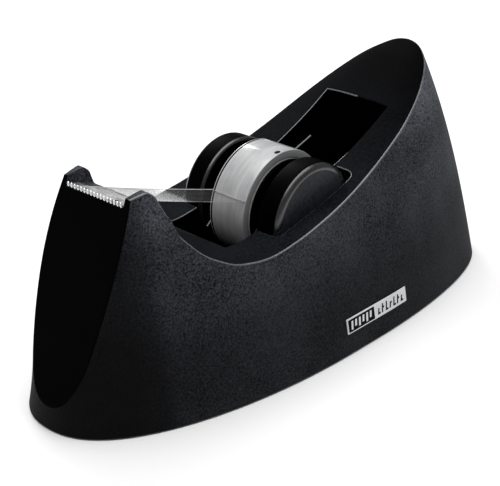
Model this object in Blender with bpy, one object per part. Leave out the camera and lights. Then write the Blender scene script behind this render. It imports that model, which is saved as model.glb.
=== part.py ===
"""Desk tape dispenser with a scooped, weighted body and a small lift-out hub.

Metres, +Z up. X runs from the cutter (-X) to the tall back (+X); Y is the width.
The origin is the middle of the footprint, on the desk.
"""
import math

import bmesh
import bpy
from mathutils import Matrix, Vector

MM = 0.001
GAP = 0.3            # clearance between touching pieces, mm

# ---- outer body: horizontal sections as functions of height (mm) ----
SHELL_BOTTOM = 0.5
HEIGHT_REF = 66.667
FRONT_END = (-80.32, 5.41, -16.64)       # nose end, quadratic in z / HEIGHT_REF
BACK_END = (80.36, -0.28, -16.65)
HALF_WIDTH = (33.04, -11.17, -8.29, -1.11)
FRONT_ENDS_X = (0.8, -22.68)             # between these two the sides run straight
BACK_STARTS_X = (9.7, 31.08)
FRONT_FULLNESS = (0.434, 0.38, -0.077)
BACK_FULLNESS = (0.26, 0.358, -0.163)

# ---- the front facet, flat across Y: its x at each height, from the tip on the nose upwards ----
FACET = ((7.0, -79.93), (9.5, -78.8), (12.0, -77.82), (15.0, -76.63), (18.5, -75.32),
         (25.0, -73.22), (31.6, -70.97), (37.7, -68.85), (43.5, -66.7), (50.0, -64.15),
         (55.0, -62.1), (59.2, -60.4))
FACET_TOP_Z = 59.2
PANEL_THICK = 1.6
PANEL_LOW_Z = 8.0
PANEL_TOP_Z = 54.6

# ---- the scoop: rim height along X, and how far its middle stands above the rim ----
RIM = ((-60.4, 59.25), (-55.4, 59.8), (-54.4, 59.2), (-53.5, 58.3), (-52.8, 56.5),
       (-51.9, 54.1), (-51.0, 51.43), (-49.6, 48.17), (-47.0, 44.86), (-44.1, 41.8),
       (-40.8, 39.46), (-33.8, 36.28), (-24.4, 35.18), (-13.7, 36.25), (-3.7, 37.9),
       (7.4, 40.46), (19.8, 44.46), (33.8, 50.04), (42.8, 54.29), (50.3, 58.22),
       (56.8, 61.93), (60.3, 63.95), (62.4, 65.69), (63.5, 66.85))
CROWN = ((-60.4, 0.0), (-36.0, 0.0), (-27.2, -0.6), (-20.0, -0.9), (-13.7, -0.9), (-3.7, -0.4),
         (7.4, 0.05), (17.5, 0.6), (30.8, 1.3), (40.2, 2.3), (50.3, 2.7), (54.8, 2.7),
         (59.0, 2.1), (62.0, 1.0), (63.5, 0.0))
CROWN_POWER = 3.5
FRONT_RIM_POINTS = 10
NOSE = -0.5 * math.pi
TAIL = 1.0 + 0.5 * math.pi

# ---- shell wall, base plate, pads, ballast ----
WALL = 2.4
TOP_WALL = 2.6
PLATE_Z = (1.5, 3.5)
PLATE_PLAY = 1.3
PAD_RADIUS = 6.0
PAD_TOP = 1.2
BOSSES = ((-51.0, 11.0), (-51.0, -11.0), (55.0, 13.0), (55.0, -13.0))
PADS = ((-39.0, 15.0), (-39.0, -15.0), (43.0, 20.0), (43.0, -20.0))
BALLAST = (('ballast_front', (-63.0, -32.0), 7.3, 24.0), ('ballast_floor', (-27.0, 39.0), 21.0, 9.2),
           ('ballast_back', (45.0, 64.0), 9.3, 36.0))
BOSS_RADIUS = 3.2
SCREW_HOLE_R = 1.4
SCREW_SHANK_R = 1.1
SCREW_HEAD_R = 2.5
SCREW_TOP_Z = 11.0

# ---- well for the roll, ribs that cradle the hub, pockets for its knobs ----
AXIS_X = 0.83
AXIS_Z = 35.2
WELL_X = (-27.2, 39.9)
WELL_HALF = 11.0
WELL_FLOOR = 12.0
RIB_X = (-14.8, 28.6)
RIB_INNER = 7.45
RIB_OUTER = 10.0
RIB_SLOPE = 0.318
POCKET_REACH = 15.9
POCKET_OUTER = 18.0
POCKET_FLOOR = 19.2
POCKET_CORNER = 2.5
CRADLE_R = 9.8

# ---- platform between the ears, and the cutter on it ----
PLATFORM_HALF = 10.2
PLATFORM_FRONT = (-60.4, 56.6)
PLATFORM_BACK = (-51.2, 54.4)
BLADE_HALF = 9.9
BLADE_FRONT_X = -62.3
BLADE_DEPTH = 5.2
BLADE_THICK = 0.6
TEETH = 17
TOOTH_DEPTH = 0.9

# ---- hub, core and tape ----
PLUG_R = 12.4
COLLAR_R = 13.7
NECK_R = 9.5
KNOB_R = 15.4
KNOB_ROUND = 1.6
CORE_IN_R = 12.7
CORE_OUT_R = 13.7
ROLL_IN_R = 14.0
ROLL_R = 16.14
TAPE_HALF = 6.0
COLLAR_Y = (6.3, 7.2)
KNOB_Y = (10.25, 17.3)
PIN_R = 2.0
PIN_BORE_R = 2.05
PIN_HALF = 15.0
STRIP_THICK = 0.3
STRIP_LEAVES_DEG = 157.1

# ---- label low on the near side ----
LABEL_X = (-1.9, 24.3)
LABEL_Z = (6.4, 10.5)
LABEL_STANDOFF = 0.2
LABEL_THICK = 0.3


def clear_scene():
    for obj in list(bpy.data.objects):
        bpy.data.objects.remove(obj, do_unlink=True)


def interpolate(table, x):
    """Monotone piecewise-cubic value of a table of (x, y) pairs."""
    if x <= table[0][0]:
        return table[0][1]
    if x >= table[-1][0]:
        return table[-1][1]
    count = len(table)
    steps = [table[i + 1][0] - table[i][0] for i in range(count - 1)]
    slopes = [(table[i + 1][1] - table[i][1]) / steps[i] for i in range(count - 1)]

    def tangent(i):
        if i == 0 or i == count - 1:
            return slopes[0] if i == 0 else slopes[-1]
        if slopes[i - 1] * slopes[i] <= 0.0:
            return 0.0
        return 2.0 * slopes[i - 1] * slopes[i] / (slopes[i - 1] + slopes[i])

    i = max(k for k in range(count - 1) if table[k][0] <= x)
    t = (x - table[i][0]) / steps[i]
    a, b = table[i][1], table[i + 1][1]
    ta, tb = tangent(i) * steps[i], tangent(i + 1) * steps[i]
    return (a * (2 * t ** 3 - 3 * t ** 2 + 1) + ta * (t ** 3 - 2 * t ** 2 + t)
            + b * (3 * t ** 2 - 2 * t ** 3) + tb * (t ** 3 - t ** 2))


def poly(coeffs, h):
    return sum(c * h ** n for n, c in enumerate(coeffs))


def wall_point(turn, z, inset):
    """Point of the outer wall; turn runs from NOSE round the front, along the side and to TAIL."""
    h = z / HEIGHT_REF
    half = poly(HALF_WIDTH, h) - inset
    front_mid, back_mid = poly(FRONT_ENDS_X, h), poly(BACK_STARTS_X, h)
    if turn < 0.0:
        reach = front_mid - poly(FRONT_END, h) - inset
        share = max(math.cos(turn), 0.0) ** (2.0 * poly(FRONT_FULLNESS, h))
        return front_mid + reach * math.sin(turn), half * share
    if turn < 1.0:
        return front_mid + (back_mid - front_mid) * turn, half
    reach = poly(BACK_END, h) - inset - back_mid
    angle = turn - 1.0
    share = max(math.cos(angle), 0.0) ** (2.0 * poly(BACK_FULLNESS, h))
    return back_mid + reach * math.sin(angle), half * share


def wall_turn(x, z, inset):
    """The turn at which the outer wall reaches x at a height."""
    h = z / HEIGHT_REF
    front_mid, back_mid = poly(FRONT_ENDS_X, h), poly(BACK_STARTS_X, h)
    if x < front_mid:
        return math.asin(max(-1.0, (x - front_mid) / (front_mid - poly(FRONT_END, h) - inset)))
    if x < back_mid:
        return (x - front_mid) / (back_mid - front_mid)
    return 1.0 + math.asin(min(1.0, (x - back_mid) / (poly(BACK_END, h) - inset - back_mid)))


def facet_x(z):
    """Depth of the facet; below its tip it runs straight on."""
    (z0, x0), (z1, x1) = FACET[0], FACET[1]
    if z < z0:
        return x0 + (x1 - x0) * (z - z0) / (z1 - z0)
    return interpolate(FACET, z)


def solve(function, low, high, target):
    """Where a rising function reaches target, by halving."""
    for _ in range(40):
        middle = 0.5 * (low + high)
        if function(middle) < target:
            low = middle
        else:
            high = middle
    return 0.5 * (low + high)


def mesh_object(name, bm):
    bmesh.ops.remove_doubles(bm, verts=bm.verts, dist=1e-7)
    bmesh.ops.recalc_face_normals(bm, faces=bm.faces)
    mesh = bpy.data.meshes.new(name)
    bm.to_mesh(mesh)
    bm.free()
    obj = bpy.data.objects.new(name, mesh)
    bpy.context.scene.collection.objects.link(obj)
    return obj


def rim_end(inset, top_drop):
    """Where the rim, moved in and down, meets the back of the wall."""
    x = RIM[-1][0] - inset
    for _ in range(30):
        height = interpolate(RIM, x) - top_drop
        x = 0.5 * (x + poly(BACK_END, height / HEIGHT_REF) - inset)
    return x


def hull_stations(inset, top_drop, rim_steps, facet_steps):
    """Points (turn, x, z, on the rim) up the facet edge and then back along the rim."""
    def edge_turn(z):
        return wall_turn(facet_x(z) + inset, z, inset)

    def rim_turn(x):
        return wall_turn(x, interpolate(RIM, x) - top_drop, inset)

    stations = []
    tip, top = FACET[0][0] + inset, FACET_TOP_Z - top_drop
    for i in range(facet_steps):
        turn = NOSE + (edge_turn(top) - NOSE) * i / facet_steps
        z = solve(edge_turn, tip, top, turn) if i else tip
        stations.append((turn, facet_x(z) + inset, z, False))
    xs = [x + inset for x, _ in RIM[:FRONT_RIM_POINTS]]
    xs.insert(1, 0.5 * (xs[0] + xs[1]))
    start, end = xs[-1], rim_end(inset, top_drop)
    for i in range(1, rim_steps):
        turn = rim_turn(start) + (TAIL - rim_turn(start)) * i / rim_steps
        xs.append(solve(rim_turn, start, end, turn))
    for x in xs:
        stations.append((rim_turn(x), x, interpolate(RIM, x) - top_drop, True))
    stations.append((TAIL, end, interpolate(RIM, end) - top_drop, True))
    return stations


def hull_solid(name, inset, top_drop, bottom, rim_steps, facet_steps, levels, across):
    """Closed solid of the boat shape: wall, base, front facet and scooped top."""
    stations = hull_stations(inset, top_drop, rim_steps, facet_steps)
    last = len(stations) - 1
    bm = bmesh.new()
    columns = {-1: [], 1: []}
    for side in (-1, 1):
        for i, (turn, _, z_top, _) in enumerate(stations):
            if side == 1 and i in (0, last):
                columns[side].append(columns[-1][i])
                continue
            column = []
            for level in range(levels + 1):
                z = bottom + (z_top - bottom) * level / levels
                x, y = wall_point(turn, max(z, SHELL_BOTTOM), inset)
                y = 0.0 if i in (0, last) else y
                column.append(bm.verts.new((x * MM, side * y * MM, z * MM)))
            columns[side].append(column)
        for i in range(last):
            a, b = columns[side][i], columns[side][i + 1]
            for level in range(levels):
                bm.faces.new((a[level], b[level], b[level + 1], a[level + 1]))
    base = [columns[-1][i][0] for i in range(last + 1)]
    base += [columns[1][i][0] for i in range(last - 1, 0, -1)]
    bm.faces.new(base)
    rows = []
    for i, (_, x, z, on_rim) in enumerate(stations):
        near, far = columns[-1][i][levels], columns[1][i][levels]
        if i in (0, last):
            rows.append([near] * (across + 1))
            continue
        row = [near]
        for j in range(1, across):
            t = -1.0 + 2.0 * j / across
            crown = interpolate(CROWN, x) * (1.0 - abs(t) ** CROWN_POWER) if on_rim else 0.0
            row.append(bm.verts.new((near.co.x, far.co.y * t, (z + crown) * MM)))
        rows.append(row + [far])
    for a, b in zip(rows, rows[1:]):
        for j in range(across):
            corners = []
            for vert in (a[j], b[j], b[j + 1], a[j + 1]):
                if vert not in corners:
                    corners.append(vert)
            bm.faces.new(corners)
    return mesh_object(name, bm)


def extrude_profile(name, points, axis, low, high):
    """Closed prism from a 2-D outline; axis 'y' takes (x, z) points, axis 'z' takes (x, y)."""
    bm = bmesh.new()

    def vert(p, q):
        if axis == 'y':
            return bm.verts.new((p[0] * MM, q * MM, p[1] * MM))
        return bm.verts.new((p[0] * MM, p[1] * MM, q * MM))

    first = [vert(p, low) for p in points]
    second = [vert(p, high) for p in points]
    bm.faces.new(first)
    bm.faces.new(second[::-1])
    for i in range(len(points)):
        j = (i + 1) % len(points)
        bm.faces.new((first[j], first[i], second[i], second[j]))
    return mesh_object(name, bm)


def box(name, x, y, z):
    return extrude_profile(name, ((x[0], y[0]), (x[1], y[0]), (x[1], y[1]), (x[0], y[1])), 'z', z[0], z[1])


def rounded_rect(x, y, radius, steps=5):
    points = []
    corners = ((x[1] - radius, y[1] - radius, 0.0), (x[0] + radius, y[1] - radius, 90.0),
               (x[0] + radius, y[0] + radius, 180.0), (x[1] - radius, y[0] + radius, 270.0))
    for cx, cy, start in corners:
        for k in range(steps + 1):
            a = math.radians(start + 90.0 * k / steps)
            points.append((cx + radius * math.cos(a), cy + radius * math.sin(a)))
    return points


def lathe(name, profile, steps, axis='Z', centre=(0.0, 0.0, 0.0)):
    """Solid of revolution about its own Z; profile is a closed loop of (radius, height)."""
    bm = bmesh.new()
    rings = []
    for r, h in profile:
        if r < 1e-9:
            rings.append([bm.verts.new((0.0, 0.0, h * MM))])
        else:
            rings.append([bm.verts.new((r * MM * math.cos(2 * math.pi * k / steps),
                                        r * MM * math.sin(2 * math.pi * k / steps), h * MM))
                          for k in range(steps)])
    count = len(rings)
    for i in range(count):
        a, b = rings[i], rings[(i + 1) % count]
        if len(a) == 1 and len(b) == 1:
            continue
        for k in range(steps):
            m = (k + 1) % steps
            if len(a) == 1:
                bm.faces.new((a[0], b[k], b[m]))
            elif len(b) == 1:
                bm.faces.new((a[k], b[0], a[m]))
            else:
                bm.faces.new((a[k], b[k], b[m], a[m]))
    obj = mesh_object(name, bm)
    if axis == 'Y':
        obj.data.transform(Matrix.Rotation(math.radians(-90.0), 4, 'X'))
    obj.location = Vector(centre) * MM
    return obj


def boolean(target, cutter, operation='DIFFERENCE'):
    modifier = target.modifiers.new(operation.title(), 'BOOLEAN')
    modifier.operation = operation
    modifier.solver = 'EXACT'
    modifier.object = cutter
    bpy.context.view_layer.update()
    graph = bpy.context.evaluated_depsgraph_get()
    mesh = bpy.data.meshes.new_from_object(target.evaluated_get(graph))
    target.modifiers.clear()
    target.data = mesh
    bpy.data.objects.remove(cutter, do_unlink=True)
    return target


def tidy(obj):
    """Weld slivers the cuts leave and make every face a clean polygon."""
    bm = bmesh.new()
    bm.from_mesh(obj.data)
    bmesh.ops.remove_doubles(bm, verts=bm.verts, dist=2e-5)
    bmesh.ops.dissolve_degenerate(bm, dist=1e-6, edges=bm.edges)
    bmesh.ops.dissolve_limit(bm, angle_limit=math.radians(0.5), verts=bm.verts, edges=bm.edges)
    bmesh.ops.triangulate(bm, faces=bm.faces)
    bmesh.ops.recalc_face_normals(bm, faces=bm.faces)
    bm.to_mesh(obj.data)
    bm.free()


def shade(obj, degrees=35.0):
    obj.data.shade_smooth()
    obj.data.set_sharp_from_angle(angle=math.radians(degrees))


def paint(obj, name, colour, roughness, metallic=0.0):
    material = bpy.data.materials.get(name) or bpy.data.materials.new(name)
    material.use_nodes = True
    shader = material.node_tree.nodes['Principled BSDF']
    shader.inputs['Base Color'].default_value = (*colour, 1.0)
    shader.inputs['Roughness'].default_value = roughness
    shader.inputs['Metallic'].default_value = metallic
    obj.data.materials.clear()
    obj.data.materials.append(material)


def slab(name, front_offset, back_offset, low, high):
    """Sheet that follows the front facet between two depths behind it."""
    steps = 10
    heights = [low + (high - low) * k / steps for k in range(steps + 1)]
    points = [(facet_x(z) + front_offset, z) for z in heights]
    points += [(facet_x(z) + back_offset, z) for z in reversed(heights)]
    return extrude_profile(name, points, 'y', -40.0, 40.0)


def circle_points(cx, cz, radius, steps, start=0.0, sweep=360.0):
    """Points along an arc; a full turn leaves out the repeated last point."""
    count = steps if sweep == 360.0 else steps + 1
    angles = [math.radians(start + sweep * k / steps) for k in range(count)]
    return [(cx + radius * math.cos(a), cz + radius * math.sin(a)) for a in angles]


def platform_z(x):
    slope = (PLATFORM_BACK[1] - PLATFORM_FRONT[1]) / (PLATFORM_BACK[0] - PLATFORM_FRONT[0])
    return PLATFORM_FRONT[1] + slope * (x - PLATFORM_FRONT[0])


def platform_cut():
    x0, x1 = -70.0, -44.0
    points = ((x0, platform_z(x0)), (x1, platform_z(x1)), (x1, 75.0), (x0, 75.0))
    return extrude_profile('platform_cut', points, 'y', -PLATFORM_HALF, PLATFORM_HALF)


def rib_top(x):
    return AXIS_Z + 0.4 + RIB_SLOPE * (x - AXIS_X)


def well_cutter():
    """Space of the roll well and knob pockets, with the two cradle webs left standing."""
    cutter = box('well_cut', WELL_X, (-WELL_HALF, WELL_HALF), (WELL_FLOOR, 90.0))
    for side in (-1, 1):
        y = sorted((side * RIB_OUTER, side * POCKET_OUTER))
        x = (AXIS_X - POCKET_REACH, AXIS_X + POCKET_REACH)
        outline = rounded_rect(x, y, POCKET_CORNER)
        boolean(cutter, extrude_profile('pocket', outline, 'z', POCKET_FLOOR, 91.0), 'UNION')
        square = sorted((side * RIB_OUTER, side * (WELL_HALF + 1.0)))
        boolean(cutter, box('pocket_mouth', x, square, (POCKET_FLOOR, 92.0)), 'UNION')
    notch = circle_points(AXIS_X, AXIS_Z, CRADLE_R, 20, 180.0, 180.0)
    web = [(RIB_X[0], 0.0), (RIB_X[1], 0.0), (RIB_X[1], rib_top(RIB_X[1])),
           (AXIS_X + CRADLE_R, rib_top(AXIS_X + CRADLE_R))]
    web += notch[::-1]
    web += [(RIB_X[0], rib_top(RIB_X[0]))]
    back = [(AXIS_X + POCKET_REACH, 0.0), (RIB_X[1], 0.0), (RIB_X[1], rib_top(RIB_X[1])),
            (AXIS_X + POCKET_REACH, rib_top(AXIS_X + POCKET_REACH))]
    for side in (-1, 1):
        low, high = sorted((side * RIB_INNER, side * RIB_OUTER))
        boolean(cutter, extrude_profile('web', web, 'y', low, high))
        low, high = sorted((side * (RIB_OUTER - 0.5), side * (WELL_HALF + 1.0)))
        boolean(cutter, extrude_profile('web_back', back, 'y', low, high))
    return cutter


def well_keep():
    """Solid kept around the well, the pockets and the bosses when the shell is hollowed."""
    keep = box('keep', (WELL_X[0] - WALL, WELL_X[1] + WALL), (-WELL_HALF - WALL, WELL_HALF + WALL),
               (WELL_FLOOR - WALL, 80.0))
    reach = POCKET_REACH + WALL
    pockets = box('keep_pockets', (AXIS_X - reach, AXIS_X + reach),
                  (-POCKET_OUTER - WALL, POCKET_OUTER + WALL), (POCKET_FLOOR - WALL, 81.0))
    boolean(keep, pockets, 'UNION')
    for x, y in BOSSES:
        boss = extrude_profile('boss', circle_points(x, y, BOSS_RADIUS, 20), 'z', PLATE_Z[1] + GAP, 82.0)
        boolean(keep, boss, 'UNION')
    return keep


def make_shell():
    """Hollow moulded body, open below, and the smooth panel let into its front."""
    behind_panel = PANEL_THICK + GAP
    cavity = hull_solid('cavity', WALL, TOP_WALL, -1.0, 36, 8, 4, 6)
    boolean(cavity, slab('facet_keep', -20.0, behind_panel + WALL, 5.0, 70.0))
    boolean(cavity, box('platform_keep', (-80.0, -44.0), (-30.0, 30.0), (PLATFORM_BACK[1] - TOP_WALL, 80.0)))
    boolean(cavity, well_keep())
    shell = hull_solid('body_shell', 0.0, 0.0, SHELL_BOTTOM, 46, 14, 7, 12)
    boolean(shell, cavity)
    boolean(shell, slab('panel_seat', -20.0, behind_panel, PANEL_LOW_Z, PANEL_TOP_Z))
    boolean(shell, platform_cut())
    boolean(shell, well_cutter())
    for x, y in BOSSES:
        circle = circle_points(x, y, SCREW_HOLE_R, 16)
        boolean(shell, extrude_profile('boss_hole', circle, 'z', 0.0, SCREW_TOP_Z + 1.0))
    panel = hull_solid('front_panel', 0.0, 0.0, SHELL_BOTTOM, 8, 20, 5, 4)
    boolean(panel, slab('panel_body', -3.0, PANEL_THICK, PANEL_LOW_Z + GAP, PANEL_TOP_Z - GAP), 'INTERSECT')
    for obj in (shell, panel):
        tidy(obj)
        shade(obj)
    paint(shell, 'shell_plastic', (0.028, 0.031, 0.035), 0.62)
    paint(panel, 'panel_plastic', (0.009, 0.009, 0.011), 0.38)


def make_base():
    """Plate, screws, pads and ballast under and inside the shell."""
    steps = 48
    middle = 0.5 * (PLATE_Z[0] + PLATE_Z[1])
    turns = [NOSE + (TAIL - NOSE) * k / steps for k in range(steps + 1)]
    near = [wall_point(turn, middle, WALL + PLATE_PLAY) for turn in turns]
    outline = [(x, -y) for x, y in near] + [(x, y) for x, y in reversed(near[1:-1])]
    plate = extrude_profile('base_plate', outline, 'z', *PLATE_Z)
    counterbore_top = PLATE_Z[0] + 1.4
    for x, y in BOSSES:
        hole = extrude_profile('hole', circle_points(x, y, SCREW_HOLE_R, 16), 'z', 0.0, 5.0)
        boolean(plate, hole)
        circle = circle_points(x, y, SCREW_HEAD_R + GAP, 24)
        boolean(plate, extrude_profile('recess', circle, 'z', 0.0, counterbore_top))
    tidy(plate)
    shade(plate)
    paint(plate, 'plate_plastic', (0.02, 0.02, 0.022), 0.7)
    head_low, head_high = PLATE_Z[0] + 0.2, counterbore_top - GAP
    for number, (x, y) in enumerate(BOSSES, 1):
        profile = ((0.0, head_low), (SCREW_HEAD_R, head_low), (SCREW_HEAD_R, head_high),
                   (SCREW_SHANK_R, head_high), (SCREW_SHANK_R, SCREW_TOP_Z), (0.0, SCREW_TOP_Z))
        screw = lathe('base_screw_%d' % number, profile, 20, centre=(x, y, 0.0))
        shade(screw)
        paint(screw, 'screw_steel', (0.55, 0.55, 0.57), 0.35, 1.0)
    for number, (x, y) in enumerate(PADS, 1):
        profile = ((0.0, 0.0), (PAD_RADIUS - 0.3, 0.0), (PAD_RADIUS, 0.3),
                   (PAD_RADIUS, PAD_TOP), (0.0, PAD_TOP))
        pad = lathe('grip_pad_%d' % number, profile, 28, centre=(x, y, 0.0))
        shade(pad)
        paint(pad, 'pad_rubber', (0.03, 0.03, 0.03), 0.9)
    low = PLATE_Z[1] + GAP
    for name, x, y, high in BALLAST:
        block = box(name, x, (-y, y), (low, high))
        paint(block, 'ballast_iron', (0.22, 0.21, 0.2), 0.6, 0.8)


def make_cutter():
    """Serrated strip lying on the platform between the ears."""
    front, back = BLADE_FRONT_X, BLADE_FRONT_X + BLADE_DEPTH
    pitch = 2.0 * BLADE_HALF / TEETH
    outline = [(back, -BLADE_HALF), (front + TOOTH_DEPTH, -BLADE_HALF)]
    for k in range(TEETH):
        y = -BLADE_HALF + pitch * k
        outline += [(front, y + 0.5 * pitch), (front + TOOTH_DEPTH, y + pitch)]
    outline.append((back, BLADE_HALF))
    bm = bmesh.new()
    layers = []
    for lift in (GAP, GAP + BLADE_THICK):
        layers.append([bm.verts.new((x * MM, y * MM, (platform_z(x) + lift) * MM))
                       for x, y in outline])
    low, high = layers
    bm.faces.new(low)
    bm.faces.new(high[::-1])
    for i in range(len(outline)):
        j = (i + 1) % len(outline)
        bm.faces.new((low[i], high[i], high[j], low[j]))
    blade = mesh_object('cutter_blade', bm)
    tidy(blade)
    paint(blade, 'blade_steel', (0.62, 0.62, 0.63), 0.28, 1.0)


def make_hub():
    """Pin, two hub halves, core and roll, all turning about the hub axis."""
    centre = (AXIS_X, 0.0, AXIS_Z)
    rod = ((0.0, -PIN_HALF), (PIN_R, -PIN_HALF), (PIN_R, PIN_HALF), (0.0, PIN_HALF))
    pin = lathe('axle_pin', rod, 32, 'Y', centre)
    shade(pin)
    paint(pin, 'pin_steel', (0.6, 0.6, 0.62), 0.3, 1.0)
    rim = circle_points(KNOB_R - KNOB_ROUND, KNOB_Y[1] - KNOB_ROUND, KNOB_ROUND, 4, 0.0, 90.0)
    half = [(PIN_BORE_R, 0.2), (PLUG_R, 0.2), (PLUG_R, COLLAR_Y[0]), (COLLAR_R, COLLAR_Y[0]),
            (COLLAR_R, COLLAR_Y[1]), (NECK_R, COLLAR_Y[1]), (NECK_R, KNOB_Y[0]),
            (KNOB_R - 0.4, KNOB_Y[0]), (KNOB_R, KNOB_Y[0] + 0.4)]
    half += rim
    half += [(0.0, KNOB_Y[1]), (0.0, PIN_HALF + GAP), (PIN_BORE_R, PIN_HALF + GAP)]
    for name, side in (('hub_left', -1), ('hub_right', 1)):
        hub = lathe(name, [(r, side * h) for r, h in half], 48, 'Y', centre)
        shade(hub)
        paint(hub, 'knob_plastic', (0.014, 0.014, 0.016), 0.34)
    for name, inner, outer, slot in (('tape_core', CORE_IN_R, CORE_OUT_R, 'core_card'),
                                     ('tape_roll', ROLL_IN_R, ROLL_R, 'clear_tape')):
        section = ((inner, -TAPE_HALF), (outer, -TAPE_HALF), (outer, TAPE_HALF), (inner, TAPE_HALF))
        ring = lathe(name, section, 64, 'Y', centre)
        shade(ring)
        colour = (0.78, 0.77, 0.74) if slot == 'core_card' else (0.62, 0.63, 0.63)
        paint(ring, slot, colour, 0.5 if slot == 'core_card' else 0.25)


def make_strip():
    """Free end of the tape, from the roll over the platform to the cutter."""
    lift = 2.0 * GAP + BLADE_THICK
    ends = (BLADE_FRONT_X - 0.3, BLADE_FRONT_X + BLADE_DEPTH)
    under = [(x, platform_z(x) + lift) for x in ends]
    reach = ROLL_R + GAP
    angle = math.radians(STRIP_LEAVES_DEG)
    leave = (AXIS_X + reach * math.cos(angle), AXIS_Z + reach * math.sin(angle))
    above = (leave[0] - 0.15, leave[1] + STRIP_THICK + 0.1)
    path = under + [leave, above] + [(x, z + STRIP_THICK) for x, z in reversed(under)]
    strip = extrude_profile('tape_strip', path, 'y', -TAPE_HALF, TAPE_HALF)
    centre = Vector((AXIS_X, 0.0, AXIS_Z)) * MM
    strip.data.transform(Matrix.Translation(-centre))
    strip.location = centre
    paint(strip, 'clear_tape_strip', (0.6, 0.61, 0.62), 0.2)


def make_label():
    """Small plate that follows the near wall just above the base."""
    columns, rows = 12, 2
    bm = bmesh.new()
    layers = []
    for lift in (LABEL_STANDOFF, LABEL_STANDOFF + LABEL_THICK):
        grid = []
        for i in range(columns + 1):
            x = LABEL_X[0] + (LABEL_X[1] - LABEL_X[0]) * i / columns
            line = []
            for j in range(rows + 1):
                z = LABEL_Z[0] + (LABEL_Z[1] - LABEL_Z[0]) * j / rows
                _, y = wall_point(wall_turn(x, z, 0.0), z, 0.0)
                line.append(bm.verts.new((x * MM, -(y + lift) * MM, z * MM)))
            grid.append(line)
        layers.append(grid)
    for grid in layers:
        for i in range(columns):
            for j in range(rows):
                bm.faces.new((grid[i][j], grid[i + 1][j], grid[i + 1][j + 1], grid[i][j + 1]))
    inner, outer = layers
    border = [(i, 0) for i in range(columns)] + [(columns, j) for j in range(rows)]
    border += [(i, rows) for i in range(columns, 0, -1)] + [(0, j) for j in range(rows, 0, -1)]
    for k, (i, j) in enumerate(border):
        m, n = border[(k + 1) % len(border)]
        bm.faces.new((inner[i][j], inner[m][n], outer[m][n], outer[i][j]))
    label = mesh_object('label_plate', bm)
    shade(label)
    paint(label, 'label_print', (0.82, 0.82, 0.8), 0.4)


def main():
    clear_scene()
    make_shell()
    make_base()
    make_cutter()
    make_hub()
    make_strip()
    make_label()


main()
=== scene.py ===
"""Looks of the desk tape dispenser: moulded body, hub, tape, cutter, label, floor and light.

Lengths in the tables are millimetres; everything built is metres, in the row frame.
"""
import math

import bmesh
import bpy
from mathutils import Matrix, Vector


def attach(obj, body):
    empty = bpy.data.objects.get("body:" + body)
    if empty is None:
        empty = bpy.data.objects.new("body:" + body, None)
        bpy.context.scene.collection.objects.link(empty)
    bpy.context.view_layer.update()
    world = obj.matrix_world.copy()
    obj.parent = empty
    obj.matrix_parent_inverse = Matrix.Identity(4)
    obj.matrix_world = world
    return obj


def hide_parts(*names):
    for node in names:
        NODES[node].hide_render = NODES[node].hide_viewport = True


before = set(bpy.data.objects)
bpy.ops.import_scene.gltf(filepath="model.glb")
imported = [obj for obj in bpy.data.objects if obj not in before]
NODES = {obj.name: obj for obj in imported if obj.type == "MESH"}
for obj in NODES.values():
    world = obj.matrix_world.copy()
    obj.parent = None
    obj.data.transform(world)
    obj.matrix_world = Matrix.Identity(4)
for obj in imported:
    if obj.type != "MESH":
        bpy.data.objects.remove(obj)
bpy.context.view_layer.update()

MM = 0.001

# ---- outer wall: horizontal sections as functions of height
SHELL_BOTTOM = 0.5
HEIGHT_REF = 66.667
FRONT_END = (-80.32, 5.41, -16.64)
BACK_END = (80.36, -0.28, -16.65)
HALF_WIDTH = (33.04, -11.17, -8.29, -1.11)
FRONT_ENDS_X = (0.8, -22.68)
BACK_STARTS_X = (9.7, 31.08)
FRONT_FULLNESS = (0.434, 0.38, -0.077)
BACK_FULLNESS = (0.26, 0.358, -0.163)
NOSE = -0.5 * math.pi
TAIL = 1.0 + 0.5 * math.pi

# ---- front facet, scooped rim and the crown between the rims
FACET = ((7.0, -79.93), (9.5, -78.8), (12.0, -77.82), (15.0, -76.63), (18.5, -75.32), (25.0, -73.22),
         (31.6, -70.97), (37.7, -68.85), (43.5, -66.7), (50.0, -64.15), (55.0, -62.1), (59.2, -60.4))
FACET_TOP_Z = 59.2
RIM = ((-60.4, 59.25), (-55.4, 59.8), (-54.4, 59.2), (-53.5, 58.3), (-52.8, 56.5),
       (-51.9, 54.1), (-51.0, 51.43), (-49.6, 48.17), (-47.0, 44.86), (-44.1, 41.8),
       (-40.8, 39.46), (-33.8, 36.28), (-24.4, 35.18), (-13.7, 36.25), (-3.7, 37.9),
       (7.4, 40.46), (19.8, 44.46), (33.8, 50.04), (42.8, 54.29), (50.3, 58.22),
       (56.8, 61.93), (60.3, 63.95), (62.4, 65.69), (63.5, 66.85))
CROWN = ((-60.4, 0.0), (-36.0, 0.0), (-27.2, -0.6), (-20.0, -0.9), (-13.7, -0.9), (-3.7, -0.4),
         (7.4, 0.05), (17.5, 0.6), (30.8, 1.3), (40.2, 2.3), (50.3, 2.7), (54.8, 2.7),
         (59.0, 2.1), (62.0, 1.0), (63.5, 0.0))
CROWN_POWER = 3.5

# ---- inside of the shell
WALL = 2.4
TOP_WALL = 2.6
PLATE_TOP = 3.5
BOSSES = ((-51.0, 11.0), (-51.0, -11.0), (55.0, 13.0), (55.0, -13.0))
BOSS_RADIUS = 3.2
SCREW_HOLE_R = 1.4
SCREW_DEPTH = 12.0
GAP = 0.3

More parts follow.
